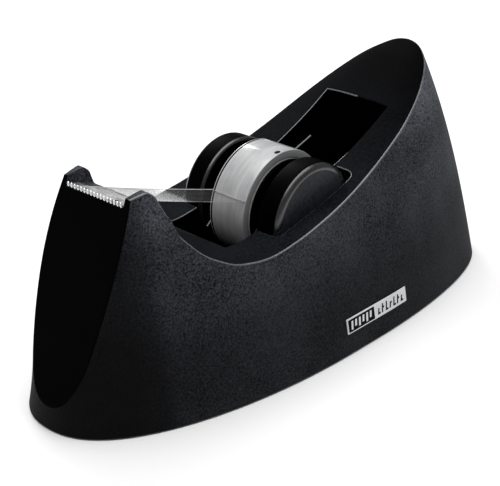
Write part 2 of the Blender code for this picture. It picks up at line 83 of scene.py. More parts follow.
# ---- panel, platform, well
PANEL_THICK = 1.6
PANEL_LOW_Z = 8.3
PANEL_TOP_Z = 54.3
SEAM = 0.03
PLATFORM_HALF = 10.2
PLATFORM_FRONT = (-60.4, 56.6)
PLATFORM_BACK = (-51.2, 54.4)
PLATFORM_CUT_X = (-70.0, -44.0)
PLATFORM_ROUND = 0.4
AXIS_X = 0.83
AXIS_Z = 35.2
WELL_X = (-27.2, 39.9)
WELL_HALF = 11.0
WELL_FLOOR = 12.0
RIB_X = (-14.8, 28.6)
RIB_INNER = 7.45
RIB_OUTER = 10.0
RIB_SLOPE = 0.318
POCKET_REACH = 15.9
POCKET_OUTER = 18.0
POCKET_FLOOR = 19.2
POCKET_CORNER = 2.5
CRADLE_R = 9.8

# ---- edge rounding, and how finely the edges are sampled
RIM_ROUND = 0.32
LIP_ROUND = 0.2
ARC_STEPS = 4
TURN_MARGIN = 0.02
TURN_STEP = 0.01
PROBE = 0.1

# ---- reach of the cutting blocks, well clear of the body
ABOVE = 80.0
AHEAD = 20.0
ASIDE = 40.0

# ---- material slots of the body mesh; the edge slot holds a painted highlight and the well slot painted shade; the ear tops are wall as far back as EAR_BACK_X
SLOT_COUNT = 5
SLOT_WALL, SLOT_SCOOP, SLOT_FACET, SLOT_EDGE_HIGHLIGHT, SLOT_WELL_SHADE = range(SLOT_COUNT)
EAR_BACK_X = -53.6


# -------- curves and the body surface
def interpolate(table, x):
    """Monotone piecewise-cubic value of a table of (x, y) pairs."""
    if x <= table[0][0]:
        return table[0][1]
    if x >= table[-1][0]:
        return table[-1][1]
    count = len(table)
    steps = [table[i + 1][0] - table[i][0] for i in range(count - 1)]
    slopes = [(table[i + 1][1] - table[i][1]) / steps[i] for i in range(count - 1)]

    def tangent(i):
        if i == 0 or i == count - 1:
            return slopes[0] if i == 0 else slopes[-1]
        if slopes[i - 1] * slopes[i] <= 0.0:
            return 0.0
        return 2.0 * slopes[i - 1] * slopes[i] / (slopes[i - 1] + slopes[i])

    i = max(k for k in range(count - 1) if table[k][0] <= x)
    t = (x - table[i][0]) / steps[i]
    a, b = table[i][1], table[i + 1][1]
    ta, tb = tangent(i) * steps[i], tangent(i + 1) * steps[i]
    return (a * (2 * t ** 3 - 3 * t ** 2 + 1) + ta * (t ** 3 - 2 * t ** 2 + t)
            + b * (3 * t ** 2 - 2 * t ** 3) + tb * (t ** 3 - t ** 2))


def poly(coeffs, h):
    """Polynomial of the height, constant term first."""
    return sum(c * h ** n for n, c in enumerate(coeffs))


def wall_point(turn, z, inset=0.0):
    """Point (x, y) of the outer wall; turn runs from NOSE round the front, along the side and to TAIL."""
    h = z / HEIGHT_REF
    half = poly(HALF_WIDTH, h) - inset
    front_mid, back_mid = poly(FRONT_ENDS_X, h), poly(BACK_STARTS_X, h)
    if turn < 0.0:
        reach = front_mid - poly(FRONT_END, h) - inset
        fall = max(math.cos(turn), 0.0) ** (2.0 * poly(FRONT_FULLNESS, h))
        return front_mid + reach * math.sin(turn), half * fall
    if turn < 1.0:
        return front_mid + (back_mid - front_mid) * turn, half
    reach = poly(BACK_END, h) - inset - back_mid
    fall = max(math.cos(turn - 1.0), 0.0) ** (2.0 * poly(BACK_FULLNESS, h))
    return back_mid + reach * math.sin(turn - 1.0), half * fall


def wall_turn(x, z, inset=0.0):
    """The turn at which the outer wall reaches x at a height."""
    h = z / HEIGHT_REF
    front_mid, back_mid = poly(FRONT_ENDS_X, h), poly(BACK_STARTS_X, h)
    if x < front_mid:
        return math.asin(max(-1.0, (x - front_mid) / (front_mid - poly(FRONT_END, h) - inset)))
    if x < back_mid:
        return (x - front_mid) / (back_mid - front_mid)
    return 1.0 + math.asin(min(1.0, (x - back_mid) / (poly(BACK_END, h) - inset - back_mid)))


def facet_x(z):
    """Depth of the facet; below its tip it runs straight on."""
    (z0, x0), (z1, x1) = FACET[0], FACET[1]
    if z < z0:
        return x0 + (x1 - x0) * (z - z0) / (z1 - z0)
    return interpolate(FACET, z)


def solve(function, low, high, target):
    """Where a rising function reaches target, by halving."""
    for _ in range(40):
        middle = 0.5 * (low + high)
        if function(middle) < target:
            low = middle
        else:
            high = middle
    return 0.5 * (low + high)


def rim_half(x):
    """Half the width of the body at the rim."""
    z = interpolate(RIM, x)
    return wall_point(wall_turn(x, z), z)[1]


def top_z(x, y):
    """Height of the scooped top at a point."""
    half = max(rim_half(x), 1e-6)
    t = min(abs(y) / half, 1.0)
    return interpolate(RIM, x) + interpolate(CROWN, x) * (1.0 - t ** CROWN_POWER)


def rim_end(inset, top_drop):
    """Where the rim, moved in and down, meets the back of the wall."""
    x = RIM[-1][0] - inset
    for _ in range(30):
        height = interpolate(RIM, x) - top_drop
        x = 0.5 * (x + poly(BACK_END, height / HEIGHT_REF) - inset)
    return x


def profile(rim_steps, facet_steps, inset=0.0, top_drop=0.0):
    """Points (x, z, on the rim) up the facet edge and then back along the rim, even in turn."""
    def edge_turn(z):
        return wall_turn(facet_x(z) + inset, z, inset)

    def rim_turn(x):
        return wall_turn(x, interpolate(RIM, x) - top_drop, inset)

    points = []
    tip, top = FACET[0][0] + inset, FACET_TOP_Z - top_drop
    for i in range(facet_steps):
        turn = NOSE + (edge_turn(top) - NOSE) * i / facet_steps
        z = solve(edge_turn, tip, top, turn) if i else tip
        points.append((facet_x(z) + inset, z, False))
    knots = [x + inset for x, _ in RIM[:12]]
    spread = max(2, round(rim_steps / 40))
    for a, b in zip(knots, knots[1:]):
        points += [(a + (b - a) * k / spread, 0.0, True) for k in range(spread)]
    start, end = knots[-1], rim_end(inset, top_drop)
    for i in range(rim_steps):
        turn = rim_turn(start) + (TAIL - rim_turn(start)) * i / rim_steps
        points.append((solve(rim_turn, start, end, turn) if i else start, 0.0, True))
    points.append((end, 0.0, True))
    return [(x, interpolate(RIM, x) - top_drop if on_rim else z, on_rim) for x, z, on_rim in points]


# -------- mesh helpers
def mesh_object(name, bm, merge=1e-7):
    """Linked object from a finished bmesh, its doubled points merged."""
    bmesh.ops.remove_doubles(bm, verts=bm.verts, dist=merge)
    bmesh.ops.recalc_face_normals(bm, faces=bm.faces)
    mesh = bpy.data.meshes.new(name)
    bm.to_mesh(mesh)
    bm.free()
    obj = bpy.data.objects.new(name, mesh)
    bpy.context.scene.collection.objects.link(obj)
    return obj


def shade(obj, degrees=32.0):
    obj.data.shade_smooth()
    obj.data.set_sharp_from_angle(angle=math.radians(degrees))


def vertex(bm, x, y, z):
    return bm.verts.new((x * MM, y * MM, z * MM))


def face(bm, corners, slot=0):
    """A face from corners that may repeat, as they do where a grid closes to a point."""
    unique = []
    for vert in corners:
        if vert not in unique:
            unique.append(vert)
    if len(unique) > 2:
        bm.faces.new(unique).material_index = slot


def edge_frame(points, i, side):
    """Edge point, and the directions from it down the wall and in over the top."""
    def at(k):
        if k < 0 or k >= len(points):
            x, z, _ = points[1 if k < 0 else len(points) - 2]
            flip = -1.0
        else:
            x, z, _ = points[k]
            flip = 1.0
        _, y = wall_point(wall_turn(x, z), z)
        if k in (0, len(points) - 1):
            y = 0.0
        return Vector((x, side * flip * y, z))

    here = at(i)
    along = (at(i + 1) - here).normalized() + (here - at(i - 1)).normalized()
    along.normalize()
    x, z, on_rim = points[i]
    turn = min(max(wall_turn(x, z), NOSE + TURN_MARGIN), TAIL - TURN_MARGIN)
    ahead, behind = wall_point(turn + TURN_STEP, z), wall_point(turn - TURN_STEP, z)
    round_wall = Vector((ahead[0] - behind[0], side * (ahead[1] - behind[1]), 0.0))
    if i in (0, len(points) - 1):
        round_wall = Vector((0.0, 1.0, 0.0))
    above, below = wall_point(turn, z + 2 * PROBE), wall_point(turn, z - 2 * PROBE)
    up_wall = Vector((above[0] - below[0], side * (above[1] - below[1]), 4 * PROBE))
    down = along.cross(round_wall.cross(up_wall)).normalized()
    if down.dot(up_wall) > 0.0:
        down.negate()
    if on_rim:
        y = 0.9 * abs(here.y)
        slope_x = (top_z(x + PROBE, y) - top_z(x - PROBE, y)) / (2 * PROBE)
        slope_y = (top_z(x, y + PROBE) - top_z(x, max(y - PROBE, 0.0))) / (2 * PROBE)
        normal = Vector((-slope_x, -side * slope_y, 1.0))
    else:
        slope = (facet_x(z + PROBE) - facet_x(z - PROBE)) / (2 * PROBE)
        normal = Vector((-1.0, 0.0, slope))
    over = along.cross(normal).normalized()
    inward = Vector((-0.2 if on_rim else 0.0, -side, 0.0 if on_rim else 0.2))
    if i == 0:
        inward = Vector((0.0, 0.0, 1.0))
    elif i == len(points) - 1:
        inward = Vector((-1.0, 0.0, 0.0))
    if over.dot(inward) < 0.0:
        over.negate()
    return here, down, over


def add_base(bm, columns):
    """Closes the bottom between the lowest points of the two sides."""
    base = [column[0] for column in columns[-1]]
    base += [column[0] for column in columns[1][-2:0:-1]]
    bm.faces.new(base)


def add_cap(bm, columns, across, place, slots):
    """Closes the top; place(i, t) is a point of row i, in metres, with t from -1 to 1 across it."""
    rows = []
    for i, (near, far) in enumerate(zip(columns[-1], columns[1])):
        if i in (0, len(columns[1]) - 1):
            rows.append([near[-1]] * (across + 1))
            continue
        inside = [bm.verts.new(place(i, -1.0 + 2.0 * j / across)) for j in range(1, across)]
        rows.append([near[-1], *inside, far[-1]])
    for a, b, slot in zip(rows, rows[1:], slots):
        for j in range(across):
            face(bm, (a[j], b[j], b[j + 1], a[j + 1]), slot)


def rounded_hull(name, rim_steps, facet_steps, levels, across, radius):
    """Closed boat shape whose rim and facet edges are rounded."""
    points = profile(rim_steps, facet_steps)
    last = len(points) - 1
    bm = bmesh.new()
    columns = {-1: [], 1: []}
    inner = {-1: [], 1: []}
    for side in (-1, 1):
        for i in range(last + 1):
            if side == 1 and i in (0, last):
                columns[side].append(columns[-1][i])
                inner[side].append(inner[-1][i])
                continue
            here, down, over = edge_frame(points, i, side)
            reach = min(radius, 0.45 * abs(here.y)) if i not in (0, last) else radius
            low = here + down * reach
            high = here + over * reach
            if points[i][2]:
                high.x = min(high.x, points[last][0] - 0.05)
                high.z = top_z(high.x, high.y)
            else:
                high.x = facet_x(high.z)
            turn = wall_turn(low.x, low.z)
            if i in (0, last):
                turn = NOSE if i == 0 else TAIL
                low.y = high.y = 0.0
            column = []
            for level in range(levels):
                z = SHELL_BOTTOM + (low.z - SHELL_BOTTOM) * level / levels
                x, y = wall_point(turn, z)
                y = 0.0 if i in (0, last) else y
                column.append(vertex(bm, x, side * y, z))
            for k in range(ARC_STEPS + 1):
                t = k / ARC_STEPS
                point = low * (1 - t) ** 2 + here * (2 * t * (1 - t)) + high * t ** 2
                column.append(bm.verts.new(point * MM))
            columns[side].append(column)
            inner[side].append(high)
        for i in range(last):
            a, b = columns[side][i], columns[side][i + 1]
            for level in range(levels + ARC_STEPS):
                # rounded rim edges take the painted-highlight slot, facet edges the facet plastic
                slot = SLOT_WALL if level < levels else SLOT_EDGE_HIGHLIGHT
                if level >= levels and not points[i][2]:
                    slot = SLOT_FACET
                face(bm, (a[level], b[level], b[level + 1], a[level + 1]), slot)
    add_base(bm, columns)

    def place(i, t):
        edge = inner[1][i]
        y = edge.y * t
        z = top_z(edge.x, y) if points[i][2] else edge.z
        return edge.x * MM, y * MM, z * MM

    top_slots = [(SLOT_WALL if x < EAR_BACK_X else SLOT_SCOOP) if on_rim else SLOT_FACET
                 for x, _, on_rim in points]
    add_cap(bm, columns, across, place, top_slots)
    return mesh_object(name, bm)


def plain_hull(name, inset, top_drop, bottom, rim_steps, facet_steps, levels, across):
    """Closed boat shape moved inwards, for the hollow of the shell."""
    points = profile(rim_steps, facet_steps, inset, top_drop)
    last = len(points) - 1
    bm = bmesh.new()
    columns = {-1: [], 1: []}
    for side in (-1, 1):
        for i, (x_top, z_top, _) in enumerate(points):
            if side == 1 and i in (0, last):
                columns[side].append(columns[-1][i])
                continue
            turn = {0: NOSE, last: TAIL}.get(i, wall_turn(x_top, z_top, inset))
            column = []
            for level in range(levels + 1):
                z = bottom + (z_top - bottom) * level / levels
                x, y = wall_point(turn, max(z, SHELL_BOTTOM), inset)
                y = 0.0 if i in (0, last) else y
                column.append(vertex(bm, x, side * y, z))
            columns[side].append(column)
        for i in range(last):
            a, b = columns[side][i], columns[side][i + 1]
            for level in range(levels):
                face(bm, (a[level], b[level], b[level + 1], a[level + 1]))
    add_base(bm, columns)

    def place(i, t):
        x, z, on_rim = points[i]
        crown = interpolate(CROWN, x) * (1.0 - abs(t) ** CROWN_POWER) if on_rim else 0.0
        return columns[-1][i][-1].co.x, columns[1][i][-1].co.y * t, (z + crown) * MM

    add_cap(bm, columns, across, place, [0] * last)
    return mesh_object(name, bm)


def prism(name, points, axis, low, high, slot=0):
    """Closed prism from a 2-D outline; axis 'y' takes (x, z) points, axis 'z' takes (x, y)."""
    bm = bmesh.new()

    def vert(p, q):
        if axis == 'y':
            return vertex(bm, p[0], q, p[1])
        return vertex(bm, p[0], p[1], q)

    first = [vert(p, low) for p in points]
    second = [vert(p, high) for p in points]
    bm.faces.new(first)
    bm.faces.new(second[::-1])
    for i in range(len(points)):
        j = (i + 1) % len(points)
        bm.faces.new((first[j], first[i], second[i], second[j]))
    for f in bm.faces:
        f.material_index = slot
    return mesh_object(name, bm)


def block(name, x, y, z, slot=0):
    return prism(name, ((x[0], y[0]), (x[1], y[0]), (x[1], y[1]), (x[0], y[1])), 'z', z[0], z[1], slot)


def arc(cx, cy, radius, start, sweep, steps):
    """Points of an arc in degrees, both ends included."""
    angles = [math.radians(start + sweep * k / steps) for k in range(steps + 1)]
    return [(cx + radius * math.cos(a), cy + radius * math.sin(a)) for a in angles]


def boolean(target, cutter, operation='DIFFERENCE'):
    """Applies an exact Boolean to the target and removes the cutter; both keep their face slots."""
    for obj in (target, cutter):
        while len(obj.data.materials) < SLOT_COUNT:
            obj.data.materials.append(None)
    modifier = target.modifiers.new(operation.title(), 'BOOLEAN')
    modifier.operation = operation
    modifier.solver = 'EXACT'
    modifier.object = cutter
    bpy.context.view_layer.update()
    graph = bpy.context.evaluated_depsgraph_get()
    mesh = bpy.data.meshes.new_from_object(target.evaluated_get(graph))
    target.modifiers.clear()
    target.data = mesh
    bpy.data.objects.remove(cutter, do_unlink=True)
    return target


def bevel_edges(obj, chosen, width, steps, slot=None):
    """Rounds the edges of a simple mesh for which chosen(edge) is true."""
    bm = bmesh.new()
    bm.from_mesh(obj.data)
    edges = [e for e in bm.edges if chosen(e)]
    made = bmesh.ops.bevel(bm, geom=edges, offset=width * MM, segments=steps, profile=0.5, affect='EDGES',
                           clamp_overlap=True)
    if slot is not None:
        for f in made['faces']:
            f.material_index = slot
    bm.to_mesh(obj.data)
    bm.free()


def lathe(name, outline, steps, centre, slots):
    """Solid turned about an axis along Y through centre; outline is a closed loop of (radius, y)."""
    bm = bmesh.new()
    rings = []
    for r, h in outline:
        if r < 1e-9:
            rings.append([vertex(bm, 0.0, h, 0.0)])
        else:
            angles = [2 * math.pi * k / steps for k in range(steps)]
            rings.append([vertex(bm, r * math.cos(a), h, r * math.sin(a)) for a in angles])
    count = len(rings)
    for i in range(count):
        a, b = rings[i], rings[(i + 1) % count]
        for k in range(steps):
            m = (k + 1) % steps
            if len(a) == 1 and len(b) == 1:
                continue
            face(bm, (a[k % len(a)], b[k % len(b)], b[m % len(b)], a[m % len(a)]), slots[i])
    obj = mesh_object(name, bm)
    obj.location = Vector(centre) * MM
    return obj


# -------- materials
def new_material(name):
    """The material, its node tree, its shader and the object's coordinates."""
    material = bpy.data.materials.new(name)
    material.use_nodes = True
    tree = material.node_tree
    coords = tree.nodes.new('ShaderNodeTexCoord').outputs['Object']
    return material, tree, tree.nodes['Principled BSDF'], coords


def add_node(tree, kind, **inputs):
    node = tree.nodes.new(kind)
    for key, value in inputs.items():
        node.inputs[key.replace('_', ' ')].default_value = value
    return node


def noise(tree, coords, scale, detail=3.0, roughness=0.6):
    node = add_node(tree, 'ShaderNodeTexNoise', Scale=scale, Detail=detail, Roughness=roughness)
    tree.links.new(coords, node.inputs['Vector'])
    return node.outputs['Fac']


def remap(tree, value, low, high, new_low, new_high):
    node = add_node(tree, 'ShaderNodeMapRange', From_Min=low, From_Max=high, To_Min=new_low, To_Max=new_high)
    tree.links.new(value, node.inputs['Value'])
    return node.outputs['Result']


def ramp(tree, value, stops):
    node = tree.nodes.new('ShaderNodeValToRGB')
    elements = node.color_ramp.elements
    while len(elements) < len(stops):
        elements.new(0.5)
    for element, (place, colour) in zip(elements, stops):
        element.position = place
        element.color = (*colour, 1.0)
    tree.links.new(value, node.inputs['Fac'])
    return node.outputs['Color']


def bump(tree, height, strength, distance, shader):
    node = add_node(tree, 'ShaderNodeBump', Strength=strength, Distance=distance)
    tree.links.new(height, node.inputs['Height'])
    tree.links.new(node.outputs['Normal'], shader.inputs['Normal'])


def grey(value):
    return (value, value, value)


def axes(tree, coords):
    split = tree.nodes.new('ShaderNodeSeparateXYZ')
    tree.links.new(coords, split.inputs['Vector'])
    return split.outputs


def stretched(tree, coords, scale):
    mapping = add_node(tree, 'ShaderNodeMapping', Scale=scale)
    tree.links.new(coords, mapping.inputs['Vector'])
    return mapping.outputs['Vector']


def calculate(tree, operation, *values, kind='ShaderNodeMath'):
    """Result of an operation on node outputs and plain numbers."""
    node = tree.nodes.new(kind)
    node.operation = operation
    for socket, value in zip(node.inputs, values):
        if isinstance(value, float):
            socket.default_value = value
        else:
            tree.links.new(value, socket)
    return next(output for output in node.outputs if output.enabled)


def shade_along(tree, coords, colour, axis, stops):
    """Painted light and shade: scales a colour by a factor that runs along one axis of the object; stops are
    (metres, factor).
    """
    low, high = stops[0][0], stops[-1][0]
    place = remap(tree, axes(tree, coords)[axis], low, high, 0.0, 1.0)
    factor = ramp(tree, place, [((at - low) / (high - low), grey(f)) for at, f in stops])
    return calculate(tree, 'MULTIPLY', colour, factor, kind='ShaderNodeVectorMath')


CLOUD_SCALE = 55.0


def plastic(name, dark, light, rough, grain, speckle, depth, specular, painted_shading=()):
    """Moulded plastic: fine grain in colour, roughness and bump, over a slow cloudiness, scaled by painted
    light and shade along the object's axes.

    grain is the noise scale, speckle the grain's share of the colour, depth the bump in metres.
    """
    material, tree, shader, coords = new_material(name)
    fine = noise(tree, coords, grain)
    slow = noise(tree, coords, CLOUD_SCALE, 2.0)
    mixed = calculate(tree, 'MULTIPLY_ADD', fine, speckle, slow)
    centre = 0.5 + 0.5 * speckle
    spread = 0.12 + 0.16 * speckle
    colour = ramp(tree, remap(tree, mixed, centre - spread, centre + spread, 0.0, 1.0),
                  ((0.0, dark), (1.0, light)))
    for axis, stops in painted_shading:
        colour = shade_along(tree, coords, colour, axis, stops)
    tree.links.new(colour, shader.inputs['Base Color'])
    tree.links.new(remap(tree, fine, 0.3, 0.7, rough[0], rough[1]), shader.inputs['Roughness'])
    shader.inputs['Specular IOR Level'].default_value = specular
    bump(tree, fine, 0.6, depth, shader)
    return material


def metal(name, dark, light, rough, stretch, grain=900.0):
    """Worked metal with fine streaks along one direction."""
    material, tree, shader, coords = new_material(name)
    streaks = noise(tree, stretched(tree, coords, stretch), grain)
    tree.links.new(ramp(tree, streaks, ((0.3, dark), (0.7, light))), shader.inputs['Base Color'])
    tree.links.new(remap(tree, streaks, 0.3, 0.7, rough[0], rough[1]), shader.inputs['Roughness'])
    shader.inputs['Metallic'].default_value = 1.0
    bump(tree, streaks, 0.3, 0.00003, shader)
    return material


FILM_CLOUD = (0.75, 1.25)
STRIP_DENSE_X = (-0.062, -0.022)
STRIP_DENSITY = ((0.0, 1.0), (0.5, 0.9), (0.66, 0.5), (0.74, 0.09), (1.0, 0.06))


def tape_material(name, dark, light, alpha, coat=0.9):
    """Film: cloudy whitish grey with faint windings round the roll; a clear film thins towards the roll."""
    material, tree, shader, coords = new_material(name)
    streaks = noise(tree, stretched(tree, coords, (0.35, 3.0, 0.35)), 260.0, 4.0)
    cloud = noise(tree, coords, 120.0, 2.0)
    both = calculate(tree, 'ADD', streaks, cloud)
    colour = ramp(tree, remap(tree, both, *FILM_CLOUD, 0.0, 1.0), ((0.0, dark), (1.0, light)))
    tree.links.new(colour, shader.inputs['Base Color'])
    tree.links.new(remap(tree, streaks, 0.3, 0.7, 0.16, 0.3), shader.inputs['Roughness'])
    shader.inputs['Coat Weight'].default_value = coat
    shader.inputs['Coat Roughness'].default_value = 0.08
    if alpha < 1.0:
        along = remap(tree, axes(tree, coords)['X'], *STRIP_DENSE_X, 0.0, 1.0)
        density = ramp(tree, along, [(place, grey(f * alpha)) for place, f in STRIP_DENSITY])
        patchy = remap(tree, both, *FILM_CLOUD, 0.85, 1.15)
        tree.links.new(calculate(tree, 'MULTIPLY', density, patchy), shader.inputs['Alpha'])
    bump(tree, streaks, 0.25, 0.00004, shader)
    return material


def winding_material(name, dark, light):
    """Side of the roll: many thin layers seen edge on."""
    material, tree, shader, coords = new_material(name)
    join = tree.nodes.new('ShaderNodeCombineXYZ')
    for axis in ('X', 'Z'):
        tree.links.new(axes(tree, coords)[axis], join.inputs[axis])
    radius = calculate(tree, 'LENGTH', join.outputs['Vector'], kind='ShaderNodeVectorMath')
    layers = add_node(tree, 'ShaderNodeTexNoise', Scale=5200.0, Detail=2.0)
    layers.noise_dimensions = '1D'
    tree.links.new(radius, layers.inputs['W'])
    colour = ramp(tree, layers.outputs['Fac'], ((0.35, dark), (0.65, light)))
    tree.links.new(colour, shader.inputs['Base Color'])
    tree.links.new(remap(tree, layers.outputs['Fac'], 0.3, 0.7, 0.3, 0.5), shader.inputs['Roughness'])
    bump(tree, layers.outputs['Fac'], 0.4, 0.00006, shader)
    return material


# Painted light and shade on the wall: colour scaled lighter towards the top and much darker at the nose, as
# the studio light falls.
WALL_PAINTED_SHADING = (('Z', ((0.0, 0.72), (0.012, 0.6), (0.016, 0.62), (0.022, 0.8), (0.028, 1.17), (0.034, 1.5),
                     (0.046, 1.75), (0.054, 2.9), (0.066, 3.2))),
              ('X', ((-0.08, 0.1), (-0.066, 0.12), (-0.06, 0.27), (-0.056, 0.62), (-0.05, 0.7), (-0.03, 0.82),
                     (0.0, 0.74), (0.03, 0.68), (0.05, 0.95), (0.08, 0.75))))
WALL_PLASTIC_PAINTED_LIGHT = plastic('wall_plastic_painted_light', dark=(0.0, 0.0003, 0.0012), light=(0.052, 0.056, 0.065),
                       rough=(0.55, 0.75), grain=1900.0, speckle=3.4, depth=0.00034, specular=0.06,
                       painted_shading=WALL_PAINTED_SHADING)
# Painted light and shade on the scoop: lighter over the middle, darker towards the back.
SCOOP_PAINTED_SHADING = (('X', ((-0.06, 0.9), (-0.03, 1.0), (-0.01, 1.7), (0.01, 1.3), (0.03, 0.9), (0.05, 0.25))),)
# The scoop top is a darker copy of the body plastic: painted shade.
SCOOP_PLASTIC_PAINTED_SHADE = plastic('scoop_plastic_painted_shade', dark=(0.0006, 0.0008, 0.0014), light=(0.0078, 0.0085, 0.0105),
                        rough=(0.65, 0.8), grain=1300.0, speckle=2.6, depth=0.00020, specular=0.02,
                        painted_shading=SCOOP_PAINTED_SHADING)
FACET_PLASTIC = plastic('facet_plastic', dark=grey(0.0004), light=(0.0010, 0.0009, 0.0009),
                        rough=(0.6, 0.7), grain=1500.0, speckle=0.5, depth=0.00003, specular=0.015)
# Rounded edges: a lighter copy of the body plastic, a painted highlight over real gloss.
EDGE_PLASTIC_PAINTED_HIGHLIGHT = plastic('edge_plastic_painted_highlight', dark=(0.06, 0.064, 0.07), light=(0.15, 0.155, 0.16),
                       rough=(0.22, 0.3), grain=1800.0, speckle=1.2, depth=0.00002, specular=0.8)
# Inside of the well, pockets and hollow: near-black painted shade.
WELL_PLASTIC_PAINTED_SHADE = plastic('well_plastic_painted_shade', dark=grey(0.0001), light=grey(0.0003),
                       rough=(0.6, 0.7), grain=1500.0, speckle=0.6, depth=0.00005, specular=0.005)
# Knob: side darkened as painted shade, rim lightened as a painted highlight over real gloss, face lightened
# as painted light.
KNOB_SIDE_PAINTED_SHADE = plastic('knob_side_painted_shade', dark=(0.0002, 0.0002, 0.0003), light=(0.0005, 0.0005, 0.0006),
                    rough=(0.4, 0.5), grain=900.0, speckle=0.5, depth=0.00003, specular=0.012)
KNOB_RIM_PAINTED_HIGHLIGHT = plastic('knob_rim_painted_highlight', dark=(0.003, 0.0034, 0.0040), light=(0.007, 0.0075, 0.009),
                   rough=(0.24, 0.32), grain=1100.0, speckle=1.2, depth=0.00004, specular=1.0)
KNOB_FACE_PAINTED_LIGHT = plastic('knob_face_painted_light', dark=(0.008, 0.0092, 0.012), light=(0.030, 0.033, 0.040),
                    rough=(0.4, 0.5), grain=1000.0, speckle=2.0, depth=0.00006, specular=0.16)
BODY_MATERIALS = (WALL_PLASTIC_PAINTED_LIGHT, SCOOP_PLASTIC_PAINTED_SHADE, FACET_PLASTIC, EDGE_PLASTIC_PAINTED_HIGHLIGHT, WELL_PLASTIC_PAINTED_SHADE)


def dress(obj, materials, shading=32.0):
    """Puts materials in the slots and keeps each face's slot."""
    slots = [polygon.material_index for polygon in obj.data.polygons]
    obj.data.materials.clear()
    for material in materials:
        obj.data.materials.append(material)
    obj.data.polygons.foreach_set('material_index', slots)
    shade(obj, shading)


# -------- body
def slab(name, front_offset, back_offset, low, high, slot=0):
    """Sheet that follows the front facet between two depths behind it."""
    steps = 24
    heights = [low + (high - low) * k / steps for k in range(steps + 1)]
    points = [(facet_x(z) + front_offset, z) for z in heights]
    points += [(facet_x(z) + back_offset, z) for z in reversed(heights)]
    return prism(name, points, 'y', -ASIDE, ASIDE, slot)


def rib_top(x):
    return AXIS_Z + 0.4 + RIB_SLOPE * (x - AXIS_X)


def pocket_outline(side):
    """Outline of a knob pocket, its two outer corners rounded."""
    x0, x1 = AXIS_X - POCKET_REACH, AXIS_X + POCKET_REACH
    y = POCKET_OUTER - POCKET_CORNER
    points = [(x1, RIB_OUTER)] + arc(x1 - POCKET_CORNER, y, POCKET_CORNER, 0.0, 90.0, 10)
    points += arc(x0 + POCKET_CORNER, y, POCKET_CORNER, 90.0, 90.0, 10) + [(x0, RIB_OUTER)]
    return [(px, side * py) for px, py in points]


def well_cutter():
    """Space of the roll well and knob pockets, with the two cradle webs left standing."""
    cutter = block('well_cut', WELL_X, (-WELL_HALF, WELL_HALF), (WELL_FLOOR, ABOVE + 10.0), SLOT_WELL_SHADE)
    for side in (-1, 1):
        pocket = prism('pocket', pocket_outline(side), 'z', POCKET_FLOOR, ABOVE + 11.0, SLOT_WELL_SHADE)
        boolean(cutter, pocket, 'UNION')
    notch = arc(AXIS_X, AXIS_Z, CRADLE_R, 180.0, 180.0, 40)
    end = [(RIB_X[1], 0.0), (RIB_X[1], rib_top(RIB_X[1]))]
    web = [(RIB_X[0], 0.0), *end, (AXIS_X + CRADLE_R, rib_top(AXIS_X + CRADLE_R)), *notch[::-1],
           (RIB_X[0], rib_top(RIB_X[0]))]
    behind = AXIS_X + POCKET_REACH
    back = [(behind, 0.0), *end, (behind, rib_top(behind))]
    for side in (-1, 1):
        low, high = sorted((side * RIB_INNER, side * RIB_OUTER))
        piece = prism('web', web, 'y', low, high, SLOT_WELL_SHADE)
        inner_y = side * RIB_INNER * MM
        # the web's rounded top edges take the painted highlight
        bevel_edges(piece, lambda e: all(abs(v.co.y - inner_y) < 1e-6 and v.co.z > 0.02 for v in e.verts),
                    0.3, 2, SLOT_EDGE_HIGHLIGHT)
        boolean(cutter, piece)
        low, high = sorted((side * (RIB_OUTER - 0.5), side * (WELL_HALF + 1.0)))
        boolean(cutter, prism('web_back', back, 'y', low, high, SLOT_WELL_SHADE))
    return cutter


def lip_ring(name, outline, width):
    """Closed ring that rounds the edge where an outline pierces the top surface."""
    dense = []
    for (x0, y0), (x1, y1) in zip(outline, outline[1:] + outline[:1]):
        steps = max(1, math.ceil(math.hypot(x1 - x0, y1 - y0) / 0.8))
        dense += [(x0 + (x1 - x0) * k / steps, y0 + (y1 - y0) * k / steps) for k in range(steps)]
    section = ((-0.10, -1.5), (0.0, -1.0), (0.134, -0.5), (0.5, -0.134), (1.0, 0.0), (1.5, 0.134), (1.5, 2.5),
               (-0.6, 2.5), (-0.6, -1.5))
    count = len(dense)
    bm = bmesh.new()
    rings = []
    for k, (x, y) in enumerate(dense):
        before, after = Vector(dense[k - 1]), Vector(dense[(k + 1) % count])
        here = Vector((x, y))
        into, out = (here - before).normalized(), (after - here).normalized()
        normal = Vector((into.y, -into.x)) + Vector((out.y, -out.x))
        normal = normal.normalized() / max(0.5, normal.length * 0.5)
        ring = []
        for offset, lift in section:
            px, py = x + normal.x * offset * width, y + normal.y * offset * width
            ring.append(vertex(bm, px, py, top_z(px, py) + lift * width))
        rings.append(ring)
    for a, b in zip(rings, rings[1:] + rings[:1]):
        y = 0.5 * (a[0].co.y + b[0].co.y) / MM
        # far lips and the near pocket's outer lip take the painted highlight; the near well lip keeps the
        # scoop plastic
        slot = SLOT_EDGE_HIGHLIGHT if y > 0.0 or y < -WELL_HALF - 1.0 else SLOT_SCOOP
        for j in range(len(section)):
            m = (j + 1) % len(section)
            face(bm, (a[j], a[m], b[m], b[j]), slot)
    return mesh_object(name, bm)


def well_outline():
    """The whole opening of the well and pockets in the top, anticlockwise."""
    right = pocket_outline(1)
    right[0] = (right[0][0], WELL_HALF)
    right[-1] = (right[-1][0], WELL_HALF)
    left = [(x, -y) for x, y in reversed(right)]
    return [(WELL_X[1], -WELL_HALF), (WELL_X[1], WELL_HALF)] + right + [
        (WELL_X[0], WELL_HALF), (WELL_X[0], -WELL_HALF)] + left


